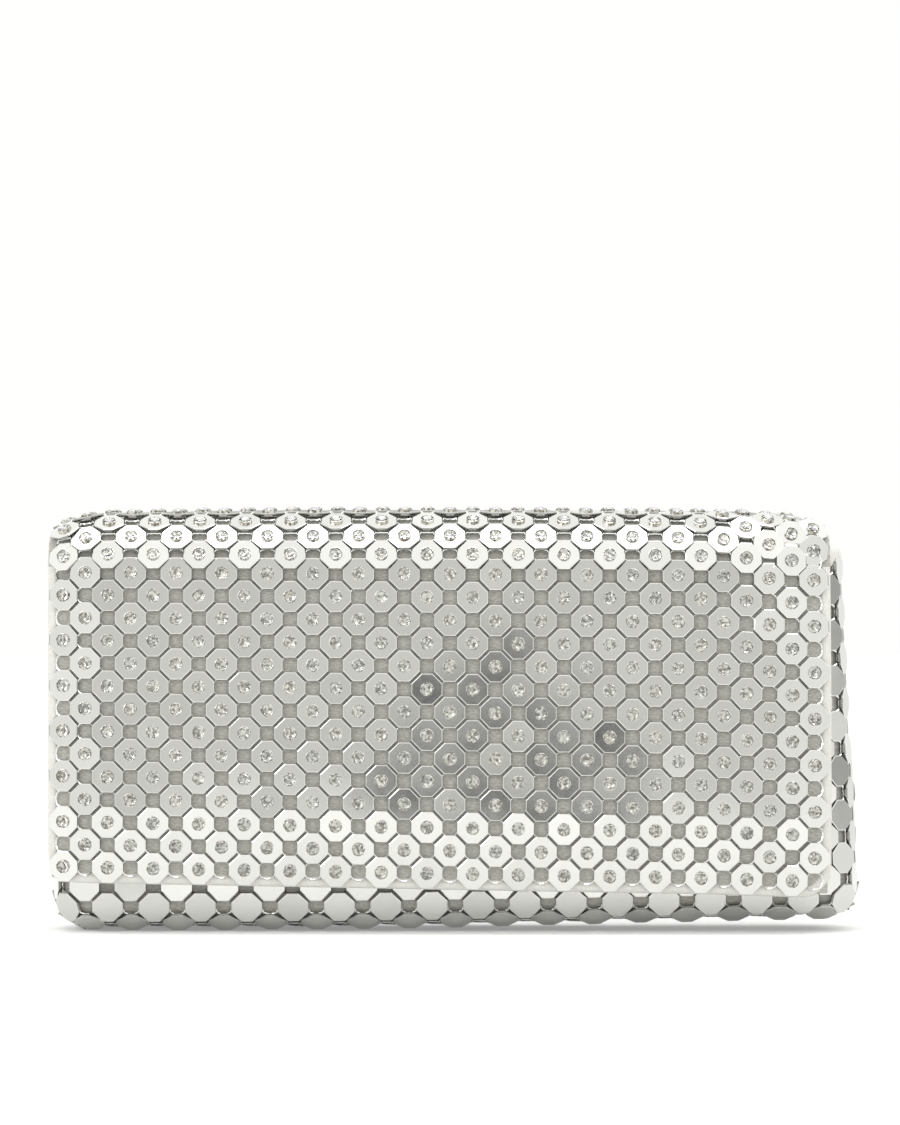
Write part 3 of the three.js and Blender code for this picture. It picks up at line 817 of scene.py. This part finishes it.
class BAG_OT_pocket(bpy.types.Operator):
    """Slip pocket on the back lining: a panel that stands off a little at its bound top edge."""

    bl_idname = "bag.pocket"
    bl_label = "Slip Pocket"

    def execute(self, context):
        low, high = (np.array(c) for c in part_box("pocket_panel"))
        x, z = np.meshgrid(np.linspace(low[0], high[0], 61), np.linspace(high[2], low[2], 41))
        side = 1 - np.abs(x / high[0]) ** 6
        rise = (z - low[2]) / (high[2] - low[2])
        away = (0.5 + 0.9 * rise) * MM * side * np.minimum(rise * 9, 1)
        fold = 0.15 * MM * np.sin(x / (7 * MM) + 2 * rise) * side * rise
        face = high[1] - 0.55 * MM - away + fold
        front = np.stack([x, face, z], axis=-1)
        back = np.stack([x, face + 0.4 * MM, z], axis=-1)
        panel = slab("pocket", front, back)
        finish_piece(panel, "bag", "lining_satin", "lining_satin", "pocket_panel")
        self.binding(low, high)
        return {"FINISHED"}

    def binding(self, low, high):
        """A flat roll of satin over the pocket's top edge: a rounded oblong carried along it."""
        x = np.linspace(low[0], high[0], 61)
        t = np.linspace(0, 2 * math.pi, 16, endpoint=False)
        side = 1 - np.abs(x / high[0]) ** 6
        middle = high[1] - 0.35 * MM - 1.4 * MM * side
        y = middle[:, None] + 0.42 * MM * np.sin(t)
        z = np.full_like(x, high[2] - 2.2 * MM)[:, None] + 2.7 * MM * squarish(t, 0.5)
        rings = np.stack([np.broadcast_to(x[:, None], y.shape), y, z], axis=-1)
        made = tube("pocket_edge", rings[::-1])
        return finish_piece(made, "bag", "facing_satin", "facing_satin", "pocket_binding")


# ---- Flap ----


def flap_rows(sizes):
    """(body, s) of every row of plates: behind and over the top in even steps, then one row at each front
    bend, a little above its hinge, and the rest down the front."""
    middle = len(HINGE_S) // 2
    bends = HINGE_S[middle:] - 1.0 * MM
    first = HINGE_S[1] / 2
    behind = np.linspace(first, bends[0], 1 + round((bends[0] - first) / sizes.row_step))[:-1]
    owners = np.searchsorted(HINGE_S, behind, side="right") - 1
    rows = [(ROW_BODIES[k], s) for k, s in zip(owners, behind)]
    rows += list(zip(ROW_BODIES[middle - 1 :], bends))
    start = HINGE_S[-1] + sizes.first_row
    front = 1 + int((FLAP_HEM_S - start) / sizes.row_step)
    return rows + [("flap_front", start + k * sizes.row_step) for k in range(front)]


def flap_lattice(body, sizes):
    """x and s of the plates, and of the rings between them, that belong to one body of the flap. Every other
    row is shifted by half a plate. Between the third hinge and the flap's front the rows slide askew over
    the cloth, and lower down the cloth itself hangs askew."""
    columns = np.linspace(-sizes.flap_reach, sizes.flap_reach, sizes.flap_columns)
    plates, rings = [], []
    rows = flap_rows(sizes)
    for number, (owner, s) in zip(range(len(rows) - 1, -1, -1), rows):
        if owner == body:
            slide = smooth_step((s - HINGE_S[2]) / (24 * MM)) * (1 - below_bends(s))
            for found, x in ((plates, columns[number % 2 :: 2]), (rings, columns[(number + 1) % 2 :: 2])):
                found.append(np.stack([x, s + slide * askew(x, s)]))
    return np.concatenate(plates, axis=1), np.concatenate(rings, axis=1)


class BAG_OT_flap_plates(bpy.types.Operator):
    """Plates, wire rings, settings and crystals of the flap, one set for each body that it bends into."""

    bl_idname = "bag.flap_plates"
    bl_label = "Flap Plates"

    def execute(self, context):
        sizes = context.scene.bag_plates
        bend_squeeze = 0.68  # the rings between bent rows are pushed together
        for number, body in enumerate(FLAP_BODIES):
            plate_at, ring_at = flap_lattice(body, sizes)
            places = leaned(frames_on(flap_surface, *plate_at, PLATE_DEPTH), sizes.tilt, 100 + number)
            rings = list(frames_on(flap_surface, *ring_at, PLATE_DEPTH))
            rings[2] = rings[2] * np.where(ring_at[1] < HINGE_S[-1], bend_squeeze, 1.0)[:, None]
            node = "flap_mesh_front" if body == "flap_front" else f"flap_mesh_row_{number + 1}"
            scatter_plates(f"{body}_plates", sizes, places, 200 + number, body, "crystal_plate_metal", node)
            made = scatter(f"{body}_rings", ring_template(sizes), rings, smooth=True)
            finish_piece(made, body, "link_wire", "plate_metal")
            made = scatter(f"{body}_settings", setting_template(sizes), places)
            finish_piece(made, body, "setting_foil", "crystal_plate_metal")
            made = scatter(f"{body}_crystals", crystal_template(sizes), self.spun(places, 300 + number))
            finish_piece(made, body, "cut_crystal", "crystal_plate_metal")
        return {"FINISHED"}

    def spun(self, places, seed):
        """The same places, each turned about its outward direction by a seeded random angle."""
        centre, right, up, out = places
        t = np.random.default_rng(seed).uniform(0, 2 * math.pi, (len(centre), 1))
        return centre, np.cos(t) * right + np.sin(t) * up, np.cos(t) * up - np.sin(t) * right, out


def pillow(x, half, outer, inner, roll=0.7 * MM):
    """Depths of a cloth's two sheets, which round towards each other over the last stretch before its
    sides."""
    t = np.clip((np.abs(x) - (half - roll)) / roll, 0, 1)
    share = (1 - np.sqrt(np.clip(1 - t**2, 0, 1))) * 0.96
    middle = (outer + inner) / 2
    return outer + (middle - outer) * share, inner + (middle - inner) * share


def across_flap(half, roll=0.7 * MM):
    """x across the flap, closer together at the rounded sides."""
    bead = half - roll * (1 - np.sin(np.linspace(0, math.pi / 2, 7)))
    return np.concatenate([-bead[::-1], np.linspace(-half + roll, half - roll, 120)[1:-1], bead])


class BAG_OT_flap_satin(bpy.types.Operator):
    """Satin of the flap: one piece across each hinge, from the middle of one row to the middle of the next,
    and the front."""

    bl_idname = "bag.flap_satin"
    bl_label = "Flap Satin"

    def execute(self, context):
        half = FLAP_HALF_X - 0.1 * MM
        lengths = np.concatenate([[1.6 * MM], ROW_LENGTHS, [6 * MM]])
        for k, start_s in enumerate(HINGE_S):
            low = start_s - lengths[k] / 2
            high = start_s + lengths[k + 1] / 2
            x, s = np.meshgrid(across_flap(half), np.linspace(low, high, 15))
            deep = STRIP_DEPTH + (FLAP_STACK - STRIP_DEPTH) * self.thick(s)
            made = slab_on(f"flap_satin_{k + 1}", flap_surface, x, s, *pillow(x, half, CLOTH_DEPTH, deep))
            nodes = [f"flap_lining_row_{k + 1}"] if k < len(ROW_BODIES) else []
            finish_piece(made, None, "backing_satin", "facing_satin", *nodes)
            start, end = (flap_surface(0.0, start_s + reach, CLOTH_DEPTH) for reach in (-0.8 * MM, 0.8 * MM))
            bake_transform(made)
        self.front(half - 0.9 * MM)
        return {"FINISHED"}

    def thick(self, s):
        """1 where the flap holds its board or meets the back's stack of layers, and 0 on the bending rows."""
        return smooth_step((s - HINGE_S[-1]) / (2.6 * MM)) + smooth_step(-s / (0.8 * MM))

    def front(self, half):
        """The flap's front, padded by its board, down to the binding at the hem."""
        x, s = np.meshgrid(across_flap(half), np.linspace(HINGE_S[-1] + 3 * MM, FLAP_HEM_S, 60))
        made = slab_on("flap_front_satin", flap_surface, x, s, *pillow(x, half, CLOTH_DEPTH, FLAP_STACK))
        finish_piece(made, "flap_front", "backing_satin", "facing_satin", "flap_lining", "flap_board")


def hem_path(count, inset, corner=6 * MM):
    """x and s down the flap's left side, round the corner, along the hem and up the right side, with the
    outward direction: three straights and two quarter circles."""
    half, top, low = FLAP_HALF_X - inset, HINGE_S[-1] + 3 * MM, FLAP_HEM_S + 1.2 * MM - inset
    side, quarter, bottom = low - corner - top, math.pi / 2 * corner, 2 * (half - corner)
    breaks = running([side, quarter, bottom, quarter, side])
    t = np.linspace(0, breaks[-1], count)
    angle = np.interp(t, breaks, np.radians([180, 180, 270, 270, 360, 360]))
    core_x = np.interp(t, breaks, np.array([-1, -1, -1, 1, 1, 1]) * (half - corner))
    core_s = np.interp(t, breaks, [top] + [low - corner] * 4 + [top])
    out = np.stack([np.cos(angle), -np.sin(angle)], axis=-1)
    return core_x + corner * out[:, 0], core_s + corner * out[:, 1], out


class BAG_OT_flap_binding(bpy.types.Operator):
    """Rolled satin binding down the flap's sides and along its hem, with its stitches on the lining's
    side."""

    bl_idname = "bag.flap_binding"
    bl_label = "Flap Binding"

    def execute(self, context):
        x, s, out = hem_path(420, 1.6 * MM)
        t = np.linspace(0, 2 * math.pi, 18, endpoint=False)
        across = 1.6 * MM * squarish(t, 0.7)
        deep = 3.1 * MM + 1.75 * MM * np.sin(t)
        rings = flap_surface(x[:, None] + out[:, :1] * across, s[:, None] + out[:, 1:] * across, deep[None])
        binding = tube("flap_binding", rings)
        nodes = [f"flap_binding_{side}" for side in ("left", "right", "bottom")]
        finish_piece(binding, "flap_front", "facing_satin", "facing_satin", *nodes)
        strips = [binding, self.stitches()]
        strips += [bpy.data.objects[f"flap_satin_{k + 1}"] for k in range(len(HINGE_S))]
        return {"FINISHED"}

    def stitches(self):
        """A row of stitches inside the binding on the lining's side."""
        x, s, _ = hem_path(110, 3.5 * MM, 4.2 * MM)
        centre, _, _, outward = frames_on(flap_surface, x, s, FLAP_STACK + 0.02 * MM)
        run = unit(np.gradient(centre, axis=0))
        places = (centre, run, np.cross(-outward, run), -outward)
        made = scatter("flap_stitches", stitch_template(), places, smooth=True)
        return finish_piece(made, "flap_front", "thread", "facing_satin")


# ---- Parts that keep their CAD shape ----


class BAG_OT_kept_parts(bpy.types.Operator):
    """Finishes of the magnetic snap, which keeps its CAD shapes."""

    bl_idname = "bag.kept_parts"
    bl_label = "Kept Parts"

    def execute(self, context):
        for name, node in frame["nodes"].items():
            if name.startswith("snap_"):
                node.data.materials.clear()
                node.data.materials.append(finish("magnet_iron" if name == "snap_magnet" else "snap_nickel"))
        return {"FINISHED"}


# ---- Studio ----


def stage_card(name, middle, across, up, colour, strength=None):
    """A flat stage rectangle from its middle and two half sides: a plain floor, or a card with an even glow
    that only reflections see."""
    middle, across, up = (np.array(v, float) for v in (middle, across, up))
    low, high = middle - up, middle + up
    points = np.array([low - across, low + across, high + across, high - across])
    made = put_mesh(name, points, np.arange(4), [4], smooth=False)
    material = bpy.data.materials.new(name)
    material.use_nodes = True
    tree = material.node_tree
    shader = tree.nodes["Principled BSDF"]
    set_inputs(shader, Base_Color=(0, 0, 0, 1), Specular_IOR_Level=0.0)
    socket = "Base Color" if strength is None else "Emission Color"
    tint(tree, object_noise(tree, Scale=3.0), shader.inputs[socket], colour, colour)
    if strength is not None:
        set_inputs(shader, Emission_Strength=strength)
        made.visible_camera = made.visible_shadow = made.visible_diffuse = False
    made.data.materials.append(material)
    return tree, shader


class BAG_OT_studio(bpy.types.Operator):
    """Pale matt floor, white surroundings, pale and dark cards, soft lights and the camera."""

    bl_idname = "bag.studio"
    bl_label = "Studio"

    def execute(self, context):
        floor = (0, 1.2, -0.0002), (4, 0, 0), (0, 2.75, 0)
        tree, shader = stage_card("floor", *floor, (0.72, 0.72, 0.71))
        set_inputs(shader, Roughness=0.5, Emission_Color=(1, 1, 1, 1))
        camera_ray = tree.nodes.new("ShaderNodeLightPath").outputs["Is Camera Ray"]
        spread(tree, camera_ray, shader.inputs["Emission Strength"], 0.05, 0.25)
        self.world(context.scene)
        warm, cool = (1, 0.995, 0.965), (0.92, 0.96, 1)
        stage_card("grey_card", (0, -1.85, 0.2), (0.6, 0, 0), (0, 0, 0.23), warm, 0.71)
        stage_card("right_card", (1.75, 0.9, 0.2), (0, 0.9, 0), (0, 0, 0.3), warm, 0.42)
        stage_card("left_card", (-1.75, 0.9, 0.2), (0, 0.9, 0), (0, 0, 0.3), warm, 0.42)
        stage_card("back_card", (0, 1.9, 0.25), (0.9, 0, 0), (0, 0, 0.3), warm, 0.55)
        stage_card("dark_card", (0.03, -1.75, 0.03), (0.1, 0, 0), (0, 0, 0.03), cool, 0.05)
        stage_card("dark_card_top", (0.02, -1.75, 0.075), (0.032, 0, 0), (0, 0, 0.017), cool, 0.09)
        self.lamp("top_light", (0, -0.15, 0.95), 0.9, 0.5, 4)
        self.lamp("left_light", (-0.8, -0.7, 0.55), 0.25, 0.5, 1.5)
        self.lamp("right_spark", (0.45, -0.9, 0.8), 0.1, 0.1, 0.5)
        self.camera(context.scene)
        context.scene.view_settings.view_transform = "Standard"
        return {"FINISHED"}

    def world(self, scene):
        """White surroundings, brighter overhead than at eye level, and plain white where the camera sees
        them."""
        made = bpy.data.worlds.new("studio")
        made.use_nodes = True
        tree = made.node_tree
        back = tree.nodes["Background"]
        camera_ray = tree.nodes.new("ShaderNodeLightPath").outputs["Is Camera Ray"]
        split = tree.nodes.new("ShaderNodeSeparateXYZ")
        tree.links.new(tree.nodes.new("ShaderNodeTexCoord").outputs["Generated"], split.inputs["Vector"])
        rise = add_node(tree, "ShaderNodeMapRange", From_Min=0.1, From_Max=0.45, To_Min=0.94, To_Max=1.12)
        tree.links.new(split.outputs["Z"], rise.inputs["Value"])
        mix = add_node(tree, "ShaderNodeMix", B=1.0)
        tree.links.new(camera_ray, mix.inputs["Factor"])
        tree.links.new(rise.outputs["Result"], mix.inputs["A"])
        tree.links.new(mix.outputs["Result"], back.inputs["Strength"])
        set_inputs(back, Color=(1, 0.998, 0.98, 1))
        scene.world = made

    def lamp(self, name, place, wide, tall, power):
        """A rectangular soft light aimed at the bag's middle."""
        light = bpy.data.lights.new(name, "AREA")
        light.shape, light.size, light.size_y, light.energy = "RECTANGLE", wide, tall, power
        made = bpy.data.objects.new(name, light)
        made.location = place
        made.rotation_euler = (Vector((0, 0, 0.05)) - Vector(place)).to_track_quat("-Z", "Y").to_euler()
        bpy.context.scene.collection.objects.link(made)

    def camera(self, scene):
        """A level camera in front of the flap, at the given height and side angle, with a long lens."""
        studio = scene.bag_studio
        data = bpy.data.cameras.new("camera")
        made = bpy.data.objects.new("camera", data)
        front = edge("flap_mesh_front", 0, 1)
        reach, side = studio.distance, studio.azimuth
        made.location = (reach * math.sin(side), front - reach * math.cos(side), studio.height)
        made.rotation_euler = (math.pi / 2, studio.roll, side)
        data.lens = data.sensor_width * reach / studio.view_height
        data.clip_start, data.clip_end = 0.01, 50
        scene.collection.objects.link(made)
        scene.camera = made


class BAG_PT_panel(bpy.types.Panel):
    """Lists the bag's pieces and settings."""

    bl_idname = "BAG_PT_panel"
    bl_label = "Evening Bag"
    bl_space_type = "VIEW_3D"
    bl_region_type = "UI"
    bl_category = "Evening Bag"

    def draw(self, context):
        for operator in OPERATORS:
            self.layout.operator(operator.bl_idname)
        for name, group in SETTINGS.items():
            box = self.layout.box()
            for key in group.__annotations__:
                box.prop(getattr(context.scene, name), key)


SETTINGS = {
    "bag_plates": PlateSettings,
    "bag_shape": ShapeSettings,
    "bag_finish": FinishSettings,
    "bag_studio": StudioSettings,
}
OPERATORS = (
    BAG_OT_studio, BAG_OT_kept_parts, BAG_OT_shell_satin, BAG_OT_body_plates, BAG_OT_boards,
    BAG_OT_mouth_binding, BAG_OT_pocket, BAG_OT_flap_satin, BAG_OT_flap_binding, BAG_OT_flap_plates,
)


def register():
    for made in (*SETTINGS.values(), *OPERATORS, BAG_PT_panel):
        bpy.utils.register_class(made)
    for name, group in SETTINGS.items():
        setattr(bpy.types.Scene, name, bpy.props.PointerProperty(type=group))


def unregister():
    for name in SETTINGS:
        delattr(bpy.types.Scene, name)
    for made in (BAG_PT_panel, *reversed(OPERATORS), *SETTINGS.values()):
        bpy.utils.unregister_class(made)


def main():
    """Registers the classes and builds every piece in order."""
    register()
    for operator in OPERATORS:
        group, name = operator.bl_idname.split(".")
        getattr(getattr(bpy.ops, group), name)()


if __name__ == "__main__":
    main()
